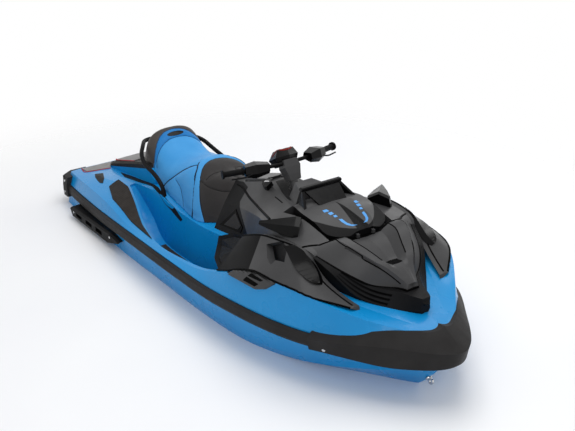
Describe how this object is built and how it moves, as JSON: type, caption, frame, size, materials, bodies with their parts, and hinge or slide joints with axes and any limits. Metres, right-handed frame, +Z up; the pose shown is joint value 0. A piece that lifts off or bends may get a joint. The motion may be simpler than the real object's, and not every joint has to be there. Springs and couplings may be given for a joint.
{
  "type": "personal watercraft",
  "caption": "Sit-down personal watercraft with a V-bottom hull, stepped seat, handlebar steering, front storage lid, side sponsons and a jet pump with a reverse bucket.",
  "frame": {"origin": "the middle of the length, on the centre plane, at the design waterline", "axes": "+X forward, +Y to port, +Z up"},
  "size_m": [3.45, 1.2558, 1.1576],
  "materials": {
    "blue_gelcoat": "gelcoat, polished",
    "engine_block": "painted casting",
    "black_rubber": "semi-matte moulded rubber",
    "black_plastic": "grained moulding",
    "grey_plastic": "satin dark grey moulding",
    "gloss_black": "gloss moulding",
    "black_vinyl": "grained marine vinyl",
    "blue_vinyl": "grained marine vinyl",
    "mirror_glass": "mirror",
    "cast_aluminium": "bead-blasted casting",
    "stainless": "brushed",
    "black_metal": "satin powder coat",
    "grey_mat": "embossed foam mat",
    "black_mat": "embossed foam mat"
  },
  "bodies": {
    "boat": {"hull": "blue_gelcoat", "deck": "blue_gelcoat", "engine": "engine_block", "side_rails": "black_rubber", "bow_bumper": "black_rubber", "stern_bumpers": "black_rubber", "sponsons": "black_plastic", "seat_front": "black_vinyl", "seat_rear": "blue_vinyl", "seat_base": "black_plastic", "grab_rail": "black_plastic", "cowl": "grey_plastic", "bin_liner": "black_plastic", "hood": "grey_plastic", "hood_grille": "black_plastic", "filler_cap": "black_plastic", "side_panels": "grey_plastic", "scoop_blades": "gloss_black", "speaker_pods": "black_plastic", "side_vents": "black_plastic", "mirror_housings": "gloss_black", "mirror_glass": "mirror_glass", "column_shroud": "grey_plastic", "pump_housing": "cast_aluminium", "shaft_bearing": "stainless", "ride_plate": "cast_aluminium", "intake_grate": "cast_aluminium", "bow_eye": "stainless", "stern_eyes": "stainless", "rear_mat": "grey_mat", "footwell_mats": "black_mat", "wedge_pads": "black_mat"},
    "steering": {"steering_neck": "grey_plastic", "handlebar": "black_metal", "grips": "black_rubber", "control_pods": "gloss_black", "levers": "black_metal", "gauge_pod": "gloss_black"},
    "storage_lid": {"storage_lid": "grey_plastic", "wind_deflector": "gloss_black"},
    "glovebox_lid": {"glovebox_lid": "grey_plastic"},
    "impeller": {"impeller": "stainless"},
    "nozzle": {"steering_nozzle": "cast_aluminium"},
    "bucket": {"reverse_bucket": "cast_aluminium"}
  },
  "joints": [
    {"name": "steering", "type": "hinge", "parent": "boat", "child": "steering", "pos_m": [0.36, 0, 0.72], "axis": [-0.5, 0, 0.866], "range_deg": [-25, 25]},
    {"name": "nozzle_steer", "type": "hinge", "parent": "boat", "child": "nozzle", "pos_m": [-1.493, 0, -0.063], "axis": [0, 0, 1], "range_deg": [-20, 20]},
    {"name": "bucket_drop", "type": "hinge", "parent": "boat", "child": "bucket", "pos_m": [-1.42, 0, -0.063], "axis": [0, -1, 0], "range_deg": [0, 54]},
    {"name": "impeller_spin", "type": "hinge", "parent": "boat", "child": "impeller", "pos_m": [-1.175, 0, -0.063], "axis": [1, 0, 0], "continuous": true},
    {"name": "storage_lid_lift", "type": "hinge", "parent": "boat", "child": "storage_lid", "pos_m": [0.967, 0, 0.673], "axis": [0, 1, 0], "range_deg": [0, 55]},
    {"name": "glovebox_lid_lift", "type": "hinge", "parent": "boat", "child": "glovebox_lid", "pos_m": [0.167, 0, 0.70836], "axis": [0, 1, 0], "range_deg": [0, 40]}
  ],
  "couplings": [
    {"joint": "nozzle_steer", "follows": "steering", "ratio": -0.8}
  ]
}
